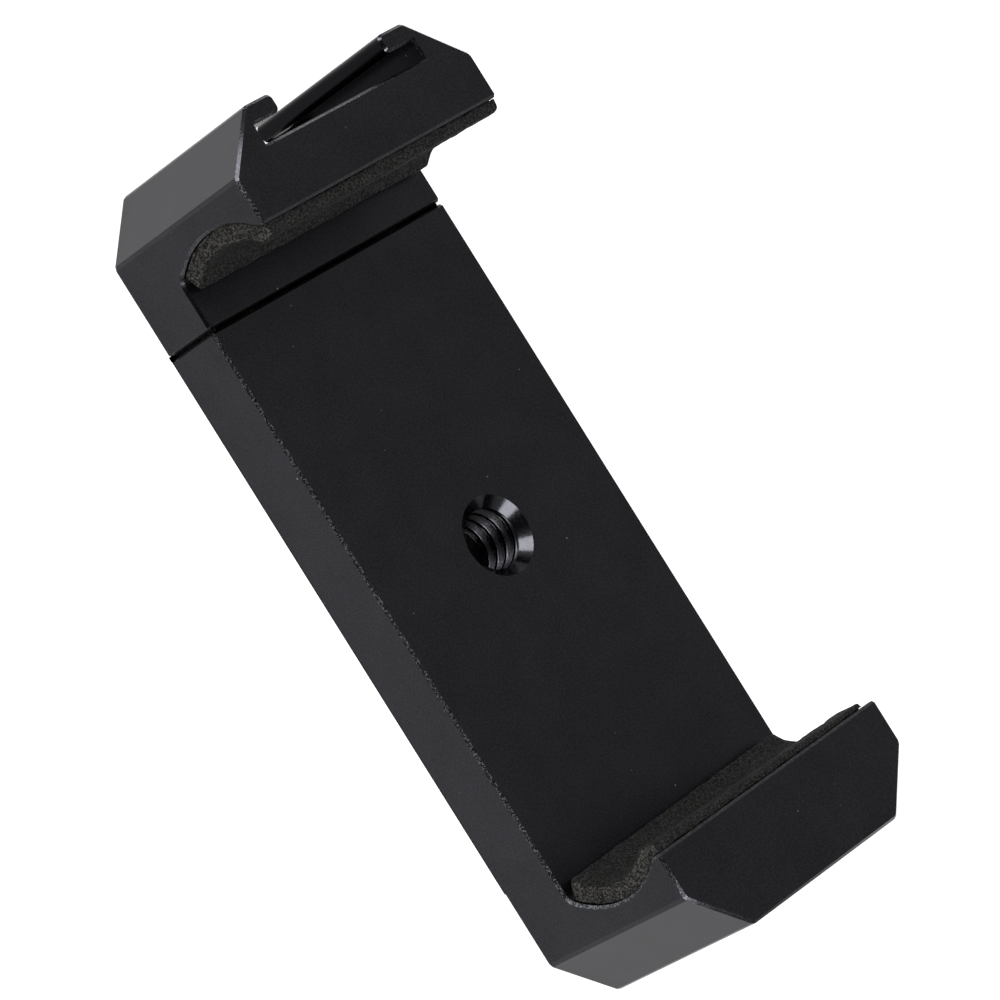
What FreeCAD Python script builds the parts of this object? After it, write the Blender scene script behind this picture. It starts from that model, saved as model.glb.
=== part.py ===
import FreeCAD, Part
import math
import os
import re
import Sketcher

# Spring-loaded phone clamp with a tripod thread and a cold shoe, in millimetres.
# X runs along the clamp toward the sliding jaw, Y across it, Z from the back face toward the phone.
# The origin lies on the tripod thread's axis in the back face, and the clamp is closed.

SIZES = (
    # The two machined pieces
    ("clampWidth", 27.8, "width of the plate and both jaws"),
    ("plateThick", 6.1, "thickness of the back plate"),
    ("jawHeight", 18.05, "height of both jaws above the back face"),
    ("fixedReach", 35.26, "tripod thread to the fixed jaw's end face"),
    ("splitReach", 24.95, "tripod thread to the body's split face"),
    ("slidingReach", 37.98, "tripod thread to the sliding jaw's end face"),
    ("splitGap", 0.25, "gap left between the body and the closed jaw"),
    ("bevelWall", 1.12, "metal left behind the bevel of a jaw's outer corner"),
    ("edgeBreak", 0.22, "small bevel that takes off every sharp edge"),
    # The hollow behind each lip, where the pad is glued
    ("lipReach", 8.6, "end face to the lip's inner edge"),
    ("seatDepth", 6.7, "end face to the hollow's deepest line"),
    ("lipLand", 0.9, "flat edge of the lip, from its front face to the hollow"),
    ("seatBlend", 1.2, "blend between the hollow and the plate"),
    # Tripod thread
    ("threadMinor", 5.17, "bore of the 1/4 inch, 20 per inch thread at its crests"),
    ("frontSink", 0.83, "countersink on the phone's side"),
    ("backSink", 0.4, "countersink on the tripod's side"),
    # Cold shoe across the sliding jaw's end
    ("shoeWidth", 18.6, "width under the rails"),
    ("shoeOpening", 12.5, "opening between the rails"),
    ("railThick", 1.63, "thickness of the rails"),
    ("shoeDepth", 3.34, "end face to the floor under the rails"),
    ("railNose", 0.55, "rounding of the rails' free edges"),
    # Foam pads
    ("padThick", 1.5, "thickness of the foam"),
    ("padGlue", 0.05, "glue film behind the foam"),
    ("padFootGap", 0.15, "pad's foot above the plate"),
    ("fixedPadProud", 0.9, "how far the fixed jaw's foam stands in from the lip's edge"),
    ("slidingPadProud", 1.25, "how far the sliding jaw's foam stands in from the lip's edge"),
    ("padTopGap", 0.4, "pad's top edge below the lip's front face"),
    ("padSideGap", 0.4, "pad's ends inside the jaw's sides"),
    ("fixedPadShort", 0.7, "how much shorter the fixed jaw's pad is cut at its right end"),
    ("padRound", 0.3, "rounding of the pad's cut edges"),
    # Guide rods, bushes and their bores
    ("rodInset", 5.4, "side of the clamp to a rod's axis"),
    ("rodDia", 2.4, "diameter of a guide rod"),
    ("chamberWall", 6.76, "fixed jaw's end face to the chambers' drilled depth"),
    ("rodChamfer", 0.2, "bevel at each rod's ends"),
    ("socketDepth", 8, "how deep a rod sits in the sliding jaw"),
    ("flatDepth", 0.4, "depth of the flat under the grub screw"),
    ("flatLength", 3, "length of that flat"),
    ("bushDia", 4.3, "outer diameter of a guide bush"),
    ("bushLength", 4.5, "length of a guide bush"),
    ("bushChamfer", 0.2, "bevel at the bush's ends"),
    ("boreDia", 3.9, "diameter of the springs' chambers in the body"),
    ("endRoom", 0.5, "free length behind a rod's end screw"),
    ("drillPoint", 118, "angle of the drilled holes' ends in degrees"),
    ("slipGap", 0.02, "radial gap where one piece is fixed in another"),
    ("runGap", 0.05, "radial gap where a rod runs in its bush"),
    # Return springs, as sleeves of the coils' outer and inner size
    ("springDia", 3.6, "outer diameter of the coils"),
    ("springWire", 0.4, "diameter of the spring wire"),
    # Washers and screws on the rods' inner ends
    ("washerDia", 3.6, "outer diameter of a spring washer"),
    ("washerThick", 0.6, "thickness of a spring washer"),
    ("washerHole", 1.7, "hole of a spring washer"),
    ("screwDia", 1.6, "thread diameter of a rod's end screw"),
    ("screwReach", 3, "length of that screw inside the rod"),
    ("tapRoom", 0.6, "depth of the tapped hole past the screw"),
    ("headDia", 3, "diameter of the screw's head"),
    ("headHeight", 1.6, "height of the screw's head"),
    ("headKey", 1.5, "hexagon key size of the head"),
    ("headKeyDepth", 0.7, "depth of the head's hexagon"),
    # Grub screws in the sliding jaw's back
    ("grubDia", 2, "thread diameter of a grub screw"),
    ("grubInset", 0.1, "grub screw below the back face"),
    ("grubPlace", 4, "inner face of the sliding jaw to the grub screw's axis"),
    ("grubKey", 0.9, "hexagon key size of the grub screw"),
    ("grubKeyDepth", 0.9, "depth of that hexagon"),
)
ALIAS = re.compile(r"\b(" + "|".join(alias for alias, _, _ in SIZES) + r")\b")

# Places worked out from the sizes, written as expressions
ROD_HEIGHT = "plateThick / 2"
ROD_OFFSET = "(clampWidth / 2 - rodInset)"
JAW_FACE = "(splitReach + splitGap)"
CHAMBER_END = "(chamberWall - fixedReach)"
ROD_OUTER_END = f"({JAW_FACE} + socketDepth)"
ROD_INNER_END = f"({CHAMBER_END} + endRoom + headHeight + washerThick)"
ROD_LENGTH = f"({ROD_OUTER_END} - {ROD_INNER_END})"
BUSH_INNER_END = f"({JAW_FACE} - bushLength)"
FLAT_HEIGHT = f"({ROD_HEIGHT} - rodDia / 2 + flatDepth)"

# The bevel of a jaw's outer corner leaves a wall to the cold shoe or the hollow, whichever is nearer
SHOE_ROOM = "(clampWidth - shoeWidth) / 2 + railThick - sqrt(2) * bevelWall"
HOLLOW_ROOM = "seatDepth - bevelWall"
CORNER_CUT = f"min({SHOE_ROOM}; {HOLLOW_ROOM})"

# The hollow is an arc from the plate to the lip's flat edge, so its axis lies midway between them
SEAT_RISE = "((jawHeight - lipLand - plateThick) / 2)"
SEAT_HEIGHT = f"(plateThick + {SEAT_RISE})"
SEAT_INSET = "(lipReach - seatDepth)"
SEAT_RADIUS = f"(({SEAT_INSET} ^ 2 + {SEAT_RISE} ^ 2) / (2 * {SEAT_INSET}))"
SEAT_AXIS = f"(seatDepth + {SEAT_RADIUS})"

SIDES = (("left", 1), ("right", -1))
SAME_PLACE = 1e-4  # coordinates closer than this are equal
SAME_WAY = 0.99  # least part of a direction along an axis that it counts as following
SMOOTH_TURN = 20  # degrees between two faces up to which their edge isn't sharp

doc = FreeCAD.newDocument("PhoneClamp")
sheet = doc.addObject("Spreadsheet::Sheet", "Sizes")
for row, (alias, value, meaning) in enumerate(SIZES, start=1):
    sheet.set(f"A{row}", meaning)
    sheet.set(f"B{row}", str(value))
    sheet.setAlias(f"B{row}", alias)
doc.recompute()


def tied(expression):
    """Returns the expression with each size's name pointing to its cell of the sheet."""
    return ALIAS.sub(r"Sizes.\1", str(expression))


def number(expression):
    """Works an expression out from the sheet's present values."""
    return float(sheet.evalExpression(tied(expression)))


def bind(thing, **expressions):
    """Ties properties of an object to expressions of the sheet's sizes."""
    for name, expression in expressions.items():
        thing.setExpression(name, tied(expression))


def place(thing, x=0, y=0, z=0):
    """Ties an object's place to expressions, one for each axis."""
    for axis, expression in (("x", x), ("y", y), ("z", z)):
        thing.setExpression(f"Placement.Base.{axis}", tied(expression))


def turn(thing, axis, degrees):
    """Turns an object about its own origin."""
    thing.Placement.Rotation = FreeCAD.Rotation(axis, degrees)


# Sketches


def new_body(label):
    """Starts a sub-part made of sketched features."""
    body = doc.addObject("PartDesign::Body", label)
    body.Label = label
    return body


def sketch_on(body, name, plane, offset=0):
    """Starts a sketch on an origin plane of the body, moved along the plane's normal by an expression."""
    sketch = body.newObject("Sketcher::SketchObject", name)
    planes = {feature.Role: feature for feature in body.Origin.OriginFeatures}
    sketch.AttachmentSupport = (planes[plane], [""])
    sketch.MapMode = "FlatFace"
    sketch.setExpression("AttachmentOffset.Base.z", tied(offset))
    return sketch


def hold_point(sketch, geometry, point, x, y):
    """Holds a point of the sketch at a pair of expressions, measured from the sketch's origin."""
    for kind, expression in (("DistanceX", x), ("DistanceY", y)):
        index = sketch.addConstraint(
            Sketcher.Constraint(kind, -1, 1, geometry, point, number(expression)))
        sketch.setExpression(f"Constraints[{index}]", tied(expression))


def draw_outline(sketch, corners, arcs=()):
    """Draws a closed outline through the corners.

    corners is a list of (x, y) expressions. arcs maps a corner's index to (centre x, centre y, radius) of
    the arc of under half a turn that runs from that corner to the next one.
    """
    spots = [FreeCAD.Vector(number(x), number(y), 0) for x, y in corners]
    arcs = dict(arcs)
    count = len(corners)
    starts = []
    for index, spot in enumerate(spots):
        after = spots[(index + 1) % count]
        if index in arcs:
            starts.append(draw_arc(sketch, spot, after, *arcs[index]))
        else:
            sketch.addGeometry(Part.LineSegment(spot, after), False)
            starts.append(1)
    for index in range(count):
        following = (index + 1) % count
        sketch.addConstraint(
            Sketcher.Constraint("Coincident", index, 3 - starts[index], following, starts[following]))
        hold_point(sketch, index, starts[index], *corners[index])


def draw_arc(sketch, spot, after, centre_x, centre_y, radius):
    """Draws the shorter arc between two points and returns 1 or 2, its own number for the first of them."""
    centre = FreeCAD.Vector(number(centre_x), number(centre_y), 0)
    first, last = (math.atan2(end.y - centre.y, end.x - centre.x) for end in (spot, after))
    forward = (last - first) % math.tau < math.pi
    if not forward:
        first, last = last, first
    circle = Part.Circle(centre, FreeCAD.Vector(0, 0, 1), number(radius))
    geometry = sketch.addGeometry(Part.ArcOfCircle(circle, first, last), False)
    size = sketch.addConstraint(Sketcher.Constraint("Radius", geometry, number(radius)))
    sketch.setExpression(f"Constraints[{size}]", tied(radius))
    return 1 if forward else 2


def draw_circle(sketch, x, y, diameter):
    """Draws a circle whose centre and diameter are expressions."""
    centre = FreeCAD.Vector(number(x), number(y), 0)
    geometry = sketch.addGeometry(
        Part.Circle(centre, FreeCAD.Vector(0, 0, 1), number(diameter) / 2), False)
    hold_point(sketch, geometry, 3, x, y)
    size = sketch.addConstraint(Sketcher.Constraint("Diameter", geometry, number(diameter)))
    sketch.setExpression(f"Constraints[{size}]", tied(diameter))


def rectangle(x_low, x_high, y_low, y_high):
    """Corners of a rectangle between four expressions."""
    return [(x_low, y_low), (x_high, y_low), (x_high, y_high), (x_low, y_high)]


# Features


def pad(body, sketch, length, symmetric=False):
    """Gives a sketch its thickness, to both sides of its plane if symmetric."""
    feature = body.newObject("PartDesign::Pad", f"{sketch.Name}Pad")
    feature.Profile = sketch
    feature.SideType = "Symmetric" if symmetric else "One side"
    bind(feature, Length=length)
    doc.recompute()
    return feature


def cut(body, sketch, length=None, reverse=False, symmetric=False):
    """Cuts a sketch into the body, to a depth or right through, and makes sure that it took material."""
    before = body.Shape.Volume
    feature = body.newObject("PartDesign::Pocket", f"{sketch.Name}Pocket")
    feature.Profile = sketch
    feature.Reversed = reverse
    feature.SideType = "Symmetric" if symmetric else "One side"
    if length is None:
        feature.Type = "ThroughAll"
    else:
        bind(feature, Length=length)
    doc.recompute()
    require_cut(feature, before, body)
    return feature


def drill(body, sketch, diameter, depth, reverse=False, seat=None):
    """Drills the sketch's circles with a pointed drill, with an optional (diameter, depth) counterbore."""
    before = body.Shape.Volume
    feature = body.newObject("PartDesign::Hole", f"{sketch.Name}Hole")
    feature.Profile = sketch
    doc.recompute()
    feature.DepthType = "Dimension"
    feature.DrillPoint = "Angled"
    feature.DrillForDepth = False
    feature.Reversed = reverse
    bind(feature, Diameter=diameter, Depth=depth, DrillPointAngle="drillPoint")
    if seat:
        feature.HoleCutType = "Counterbore"
        feature.HoleCutCustomValues = True
        bind(feature, HoleCutDiameter=seat[0], HoleCutDepth=seat[1])
    doc.recompute()
    require_cut(feature, before, body)
    return feature


def require_cut(feature, before, body):
    """Stops the build if a cut pointed away from the material."""
    if not body.Shape.Volume < before:
        raise RuntimeError(f"{feature.Label} removed nothing")


def revolve(body, sketch, axis="X_Axis"):
    """Turns a sketch once round an origin axis of its body."""
    feature = body.newObject("PartDesign::Revolution", f"{sketch.Name}Revolution")
    feature.Profile = sketch
    axes = {origin.Role: origin for origin in body.Origin.OriginFeatures}
    feature.ReferenceAxis = (axes[axis], [""])
    doc.recompute()
    return feature


def bevel(body, edges, size, name):
    """Cuts a 45 degree bevel along the named edges of the body's last feature."""
    solid = body.Tip
    feature = body.newObject("PartDesign::Chamfer", name)
    feature.Base = (solid, edges)
    bind(feature, Size=size)
    doc.recompute()
    return feature


def blend(body, edges, radius, name):
    """Rounds the named edges of the body's last feature."""
    solid = body.Tip
    feature = body.newObject("PartDesign::Fillet", name)
    feature.Base = (solid, edges)
    bind(feature, Radius=radius)
    doc.recompute()
    return feature


def edges_where(body, test):
    """Names of the body's edges whose middle point and direction pass the test."""
    names = []
    for index, edge in enumerate(body.Shape.Edges, start=1):
        middle, direction = middle_of(edge)
        if test(middle, direction):
            names.append(f"Edge{index}")
    return names


def along(direction, axis):
    """Whether a direction follows the x, y or z axis."""
    return abs(getattr(direction, axis)) > SAME_WAY


def middle_of(edge):
    """Middle point and unit direction of an edge."""
    parameter = (edge.FirstParameter + edge.LastParameter) / 2
    return edge.valueAt(parameter), edge.tangentAt(parameter)


def sharp_edges(body):
    """Names of the body's edges where two faces meet in an outward corner."""
    probe = number("edgeBreak") / 10
    shape = body.Shape
    names = []
    for index, edge in enumerate(shape.Edges, start=1):
        faces = shape.ancestorsOfType(edge, Part.Face)
        if len(faces) != 2:
            continue
        middle, _ = middle_of(edge)
        first, second = (face.normalAt(*face.Surface.parameter(middle)) for face in faces)
        if first.dot(second) > math.cos(math.radians(SMOOTH_TURN)):
            continue
        across = (first - second).normalize() * probe
        if not any(shape.isInside(middle + step, probe / 100, True) for step in (across, across * -1)):
            names.append(f"Edge{index}")
    return names


def near(value, expression):
    """Whether a coordinate equals an expression's value."""
    return math.isclose(value, number(expression), abs_tol=SAME_PLACE)


# The two machined pieces


def draw_side(body, end, inward, split):
    """Draws the side view of a jaw and the plate that it stands on, up to the split face.

    end is the expression of the end face's place, inward is 1 or -1, the way along X from there to the
    phone, and split is the expression of the split face's place.
    """
    axis = f"{end} + {inward} * {SEAT_AXIS}"
    lip = f"{end} + {inward} * lipReach"
    sketch = sketch_on(body, f"{body.Label}_side", "XZ_Plane")
    corners = [
        (end, 0),
        (split, 0),
        (split, "plateThick"),
        (lip, "plateThick"),
        (lip, "jawHeight - lipLand"),
        (lip, "jawHeight"),
        (end, "jawHeight"),
    ]
    draw_outline(sketch, corners, {3: (axis, SEAT_HEIGHT, SEAT_RADIUS)})
    pad(body, sketch, "clampWidth", symmetric=True)


def shape_jaw(body, end, inward):
    """Bevels a jaw's two outer corners and blends its hollow into the plate."""
    corners = edges_where(body, lambda spot, way: along(way, "z") and near(spot.x, end))
    bevel(body, corners, CORNER_CUT, f"{body.Label}_corners")
    foot = edges_where(body, lambda spot, way: along(way, "y") and near(spot.z, "plateThick")
                       and near(spot.x, f"{end} + {inward} * lipReach"))
    blend(body, foot, "seatBlend", f"{body.Label}_seat")


def make_clamp_body():
    """Back plate and fixed jaw in one, with the tripod thread and the springs' chambers."""
    body = new_body("clamp_body")
    draw_side(body, "-fixedReach", 1, "splitReach")
    shape_jaw(body, "-fixedReach", 1)
    bevel(body, sharp_edges(body), "edgeBreak", "body_edges")

    thread = sketch_on(body, "tripod_thread", "XY_Plane")
    draw_circle(thread, 0, 0, "threadMinor")
    cut(body, thread, reverse=True)
    for height, size, name in (("plateThick", "frontSink", "front_sink"), (0, "backSink", "back_sink")):
        rim = edges_where(body, lambda spot, way: near(spot.z, height)
                          and near(math.hypot(spot.x, spot.y), "threadMinor / 2"))
        bevel(body, rim, size, name)

    chambers = sketch_on(body, "spring_chambers", "YZ_Plane", "splitReach")
    for _, side in SIDES:
        draw_circle(chambers, f"{side} * {ROD_OFFSET}", ROD_HEIGHT, "boreDia")
    drill(body, chambers, "boreDia", f"splitReach - {CHAMBER_END}",
          seat=("bushDia + 2 * slipGap", f"splitReach - {BUSH_INNER_END}"))


def make_sliding_jaw():
    """Jaw that slides out on the rods, with the cold shoe across its end."""
    body = new_body("sliding_jaw")
    draw_side(body, "slidingReach", -1, JAW_FACE)
    shape_jaw(body, "slidingReach", -1)

    shoe = sketch_on(body, "cold_shoe", "XY_Plane")
    under = "slidingReach - railThick"
    floor = "slidingReach - shoeDepth"
    draw_outline(shoe, [
        ("slidingReach", "shoeOpening / 2"),
        (under, "shoeOpening / 2"),
        (under, "shoeWidth / 2"),
        (floor, "shoeWidth / 2"),
        (floor, "-shoeWidth / 2"),
        (under, "-shoeWidth / 2"),
        (under, "-shoeOpening / 2"),
        ("slidingReach", "-shoeOpening / 2"),
    ])
    cut(body, shoe, reverse=True)
    noses = edges_where(body, lambda spot, way: along(way, "z") and near(abs(spot.y), "shoeOpening / 2"))
    blend(body, noses, "railNose", "rail_noses")
    bevel(body, sharp_edges(body), "edgeBreak", "jaw_edges")

    sockets = sketch_on(body, "rod_sockets", "YZ_Plane", JAW_FACE)
    grubs = sketch_on(body, "grub_holes", "XY_Plane")
    for _, side in SIDES:
        rod = f"{side} * {ROD_OFFSET}"
        draw_circle(sockets, rod, ROD_HEIGHT, "rodDia + 2 * slipGap")
        draw_circle(grubs, f"{JAW_FACE} + grubPlace", rod, "grubDia")
    drill(body, sockets, "rodDia + 2 * slipGap", "socketDepth", reverse=True)
    cut(body, grubs, ROD_HEIGHT, reverse=True)


def make_pad(label, end, inward, stand, short):
    """Foam strip glued in a jaw's hollow, from near the plate up to just behind the lip.

    stand is the expression of how far it stands in from the lip's edge, and short of how much is missing
    at its right end.
    """
    back = f"({SEAT_RADIUS} - padGlue)"
    front = f"({back} - padThick)"
    axis = f"{end} + {inward} * {SEAT_AXIS}"
    land = "(lipReach + padGlue)"
    proud = f"({land} + {stand})"
    top = "jawHeight - padTopGap"
    foot_drop = f"({SEAT_RISE} - padFootGap)"

    def spot(reach, height):
        """Point at a distance in from the end face and at a height."""
        return f"{end} + {inward} * ({reach})", height

    def on_arc(radius, reach):
        """Point above the hollow's axis on one of the pad's two faces."""
        return spot(reach, f"{SEAT_HEIGHT} + sqrt({radius} ^ 2 - ({SEAT_AXIS} - {reach}) ^ 2)")

    def foot(radius):
        """End of one of the pad's faces, on the line square to them through the foot of the back."""
        run = f"sqrt({back} ^ 2 - {foot_drop} ^ 2)"
        share = f"{radius} / {back}"
        return spot(f"{SEAT_AXIS} - {run} * {share}", f"{SEAT_HEIGHT} - {foot_drop} * {share}")

    body = new_body(label)
    sketch = sketch_on(body, f"{label}_section", "XZ_Plane", f"-({short}) / 2")
    corners = [
        foot(back),
        on_arc(back, land),
        spot(land, top),
        spot(proud, top),
        on_arc(front, proud),
        foot(front),
    ]
    draw_outline(sketch, corners, {0: (axis, SEAT_HEIGHT, back), 4: (axis, SEAT_HEIGHT, front)})
    pad(body, sketch, f"clampWidth - 2 * padSideGap - {short}", symmetric=True)
    rounded = [foot(back), foot(front), spot(proud, top)]
    ends = edges_where(body, lambda middle, way: along(way, "y") and any(
        near(middle.x, x) and near(middle.z, z) for x, z in rounded))
    blend(body, ends, "padRound", f"{label}_ends")


# What carries the sliding jaw, once on each side


def make_rod(name, side):
    """Guide rod with a flat for the grub screw and a tapped hole in its inner end."""
    body = new_body(f"guide_rod_{name}")
    outline = sketch_on(body, f"rod_section_{name}", "YZ_Plane")
    draw_circle(outline, 0, 0, "rodDia")
    pad(body, outline, ROD_LENGTH)
    rims = edges_where(body, lambda spot, way: not along(way, "x"))
    bevel(body, rims, "rodChamfer", f"rod_ends_{name}")

    middle = f"({ROD_LENGTH} - socketDepth + grubPlace)"
    flat = sketch_on(body, f"rod_flat_{name}", "XZ_Plane")
    draw_outline(flat, rectangle(
        f"{middle} - flatLength / 2", f"{middle} + flatLength / 2", "-rodDia", "flatDepth - rodDia / 2"))
    cut(body, flat, "2 * rodDia", symmetric=True)

    tapped = sketch_on(body, f"rod_tapping_{name}", "YZ_Plane")
    draw_circle(tapped, 0, 0, "screwDia + 2 * slipGap")
    drill(body, tapped, "screwDia + 2 * slipGap", "screwReach + tapRoom", reverse=True)
    place(body, ROD_INNER_END, f"{side} * {ROD_OFFSET}", ROD_HEIGHT)


def make_turned(label, sections):
    """A piece turned about X: sections is its half outline as (x, radius) expressions."""
    body = new_body(label)
    sketch = sketch_on(body, f"{label}_half", "XZ_Plane")
    draw_outline(sketch, sections)
    revolve(body, sketch)
    return body


def make_bush(name, side):
    """Guide bush, bevelled at both ends, that the rod runs in."""
    bore = "rodDia / 2 + runGap"
    wall = "bushDia / 2"
    body = make_turned(f"guide_bush_{name}", [
        (0, bore),
        ("bushLength", bore),
        ("bushLength", f"{wall} - bushChamfer"),
        ("bushLength - bushChamfer", wall),
        ("bushChamfer", wall),
        (0, f"{wall} - bushChamfer"),
    ])
    place(body, BUSH_INNER_END, f"{side} * {ROD_OFFSET}", ROD_HEIGHT)


def make_spring(name, side):
    """Return spring as the sleeve that its coils fill, between the washer and the bush."""
    coils = doc.addObject("Part::Cylinder", f"spring_coils_{name}")
    inside = doc.addObject("Part::Cylinder", f"spring_inside_{name}")
    bind(coils, Radius="springDia / 2", Height=f"{BUSH_INNER_END} - {ROD_INNER_END}")
    bind(inside, Radius="springDia / 2 - springWire", Height=f"{BUSH_INNER_END} - {ROD_INNER_END}")
    spring = doc.addObject("Part::Cut", f"return_spring_{name}")
    spring.Label = f"return_spring_{name}"
    spring.Base = coils
    spring.Tool = inside
    turn(spring, FreeCAD.Vector(0, 1, 0), 90)
    place(spring, ROD_INNER_END, f"{side} * {ROD_OFFSET}", ROD_HEIGHT)


def make_washer(name, side):
    """Washer between the spring and the head of the rod's end screw."""
    body = make_turned(f"spring_washer_{name}", rectangle(
        "-washerThick", 0, "washerHole / 2", "washerDia / 2"))
    place(body, ROD_INNER_END, f"{side} * {ROD_OFFSET}", ROD_HEIGHT)


def make_end_screw(name, side):
    """Socket-head screw in the rod's inner end."""
    body = make_turned(f"rod_end_screw_{name}", [
        ("-headHeight", 0),
        ("washerThick + screwReach", 0),
        ("washerThick + screwReach", "screwDia / 2"),
        (0, "screwDia / 2"),
        (0, "headDia / 2"),
        ("-headHeight", "headDia / 2"),
    ])
    sink_hexagon(body, "YZ_Plane", "-headHeight", "headKey", "headKeyDepth")
    place(body, f"{ROD_INNER_END} - washerThick", f"{side} * {ROD_OFFSET}", ROD_HEIGHT)


def make_grub_screw(name, side):
    """Grub screw that presses on the rod's flat from the sliding jaw's back."""
    body = new_body(f"grub_screw_{name}")
    outline = sketch_on(body, f"grub_section_{name}", "XY_Plane")
    draw_circle(outline, 0, 0, "grubDia - 2 * slipGap")
    pad(body, outline, f"{FLAT_HEIGHT} - grubInset")
    sink_hexagon(body, "XY_Plane", 0, "grubKey", "grubKeyDepth")
    place(body, f"{JAW_FACE} + grubPlace", f"{side} * {ROD_OFFSET}", "grubInset")


def sink_hexagon(body, plane, offset, key, depth):
    """Sinks a key's hexagon into the body from a plane, along the plane's normal."""
    sketch = sketch_on(body, f"{body.Label}_key", plane, offset)
    corner = f"{key} / sqrt(3)"
    angles = [60 * step for step in range(6)]
    draw_outline(sketch, [(f"{corner} * cos({angle})", f"{corner} * sin({angle})") for angle in angles])
    cut(body, sketch, depth, reverse=True)


make_clamp_body()
make_sliding_jaw()
make_pad("fixed_jaw_pad", "-fixedReach", 1, "fixedPadProud", "fixedPadShort")
make_pad("sliding_jaw_pad", "slidingReach", -1, "slidingPadProud", "0")
for side_name, side_sign in SIDES:
    make_rod(side_name, side_sign)
    make_bush(side_name, side_sign)
    make_spring(side_name, side_sign)
    make_washer(side_name, side_sign)
    make_end_screw(side_name, side_sign)
    make_grub_screw(side_name, side_sign)
doc.recompute()

# Every object is checked before anything is written
for thing in doc.Objects:
    if {"Invalid", "Error"} & set(thing.State):
        raise RuntimeError(f"{thing.Label} failed: {thing.State}")
subparts = [thing for thing in doc.Objects if thing.TypeId in ("PartDesign::Body", "Part::Cut")]
os.makedirs("parts", exist_ok=True)
for thing in subparts:
    if thing.Shape.isNull() or not thing.Shape.isValid():
        raise RuntimeError(f"{thing.Label} has no valid shape")
for thing in subparts:
    thing.Shape.exportStep(f"parts/{thing.Label}.step")
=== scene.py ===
"""Looks of a sprung phone clamp with a tripod thread and a cold shoe.

The clamp lies on its back on a pale floor, with +Z up from its back face, +X toward the jaw that slides out
and +Y toward its left side. The camera stands where the photograph was taken from.
"""

import logging
import math
from dataclasses import dataclass
from enum import Enum

import bmesh
import bpy
import numpy as np
from mathutils import Matrix, Vector


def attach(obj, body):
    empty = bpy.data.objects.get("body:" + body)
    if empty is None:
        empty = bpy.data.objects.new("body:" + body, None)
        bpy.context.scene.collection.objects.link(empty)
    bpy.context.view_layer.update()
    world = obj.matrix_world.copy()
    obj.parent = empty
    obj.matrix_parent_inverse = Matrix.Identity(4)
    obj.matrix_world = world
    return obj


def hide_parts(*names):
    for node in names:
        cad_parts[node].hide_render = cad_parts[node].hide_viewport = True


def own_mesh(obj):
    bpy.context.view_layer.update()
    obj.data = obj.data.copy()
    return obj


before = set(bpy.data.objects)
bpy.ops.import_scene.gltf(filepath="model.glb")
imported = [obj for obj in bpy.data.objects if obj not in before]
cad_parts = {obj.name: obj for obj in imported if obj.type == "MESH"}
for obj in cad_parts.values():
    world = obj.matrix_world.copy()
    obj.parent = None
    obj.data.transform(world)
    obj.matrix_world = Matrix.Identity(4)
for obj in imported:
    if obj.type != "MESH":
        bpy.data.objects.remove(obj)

MM = 0.001
LOG = logging.getLogger("phone_clamp")


class Side(Enum):
    """The two sides of the clamp, with the sign of their Y."""

    LEFT = 1
    RIGHT = -1


class Jaw(Enum):
    """The two jaws, each with its end face's place in mm and the way from there to the phone."""

    FIXED = ("fixed_jaw", -35.26, 1)
    SLIDING = ("sliding_jaw", 37.98, -1)


# Colours and shader nodes


def linear(hex_colour: str) -> tuple[float, float, float, float]:
    """Turns an sRGB hex colour into the linear one that a shader takes.

    Each channel c is c / 12.92 up to 0.04045, and ((c + 0.055) / 1.055) to the power 2.4 above it.

    Args:
        hex_colour: Six hex digits after a hash.

    Returns:
        Red, green, blue and an alpha of 1.
    """
    channels = [int(hex_colour[place:place + 2], 16) / 255 for place in (1, 3, 5)]
    red, green, blue = [c / 12.92 if c <= 0.04045 else ((c + 0.055) / 1.055) ** 2.4 for c in channels]
    return red, green, blue, 1.0


def per_mm(size: float) -> float:
    """Pattern scale of a texture whose features are to be the given size in mm, on coordinates in metres."""
    return 1 / (size * MM)


def add_node(tree: bpy.types.NodeTree, kind: str, inputs: dict | tuple = (),
             **settings: str) -> bpy.types.Node:
    """Adds a shader node with its settings, values and links.

    Args:
        tree: The node tree of a material or of the world.
        kind: The node's type name after ShaderNode.
        inputs: What goes into the node's first inputs in order, or into inputs by name or number. Each is a
            value, or an output socket, or a node whose first output feeds it.
        settings: Attributes of the node.

    Returns:
        The new node.
    """
    node = tree.nodes.new(f"ShaderNode{kind}")
    for name, value in settings.items():
        setattr(node, name, value)
    for name, value in inputs.items() if isinstance(inputs, dict) else enumerate(inputs):
        if isinstance(value, bpy.types.Node):
            value = value.outputs[0]
        if isinstance(value, bpy.types.NodeSocket):
            tree.links.new(value, node.inputs[name])
        else:
            node.inputs[name].default_value = value
    return node


class Finish:
    """What every finish shares: a named material whose surface a subclass draws."""

    name: str

    def material(self) -> bpy.types.Material:
        """Makes the finish's material, once.

        Returns:
            The material.
        """
        made = bpy.data.materials.get(self.name)
        if made is None:
            made = bpy.data.materials.new(self.name)
            made.use_nodes = True
            tree = made.node_tree
            tree.nodes.clear()
            place = add_node(tree, "TexCoord").outputs["Object"]
            add_node(tree, "OutputMaterial", {"Surface": self.surface(tree, place)})
        return made

    def surface(self, tree: bpy.types.NodeTree, place: bpy.types.NodeSocket) -> bpy.types.Node:
        """Draws the surface's nodes and returns the shader.

        Args:
            tree: The material's node tree.
            place: Object coordinates, in metres.

        Returns:
            The principled shader node.
        """
        raise NotImplementedError


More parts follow.
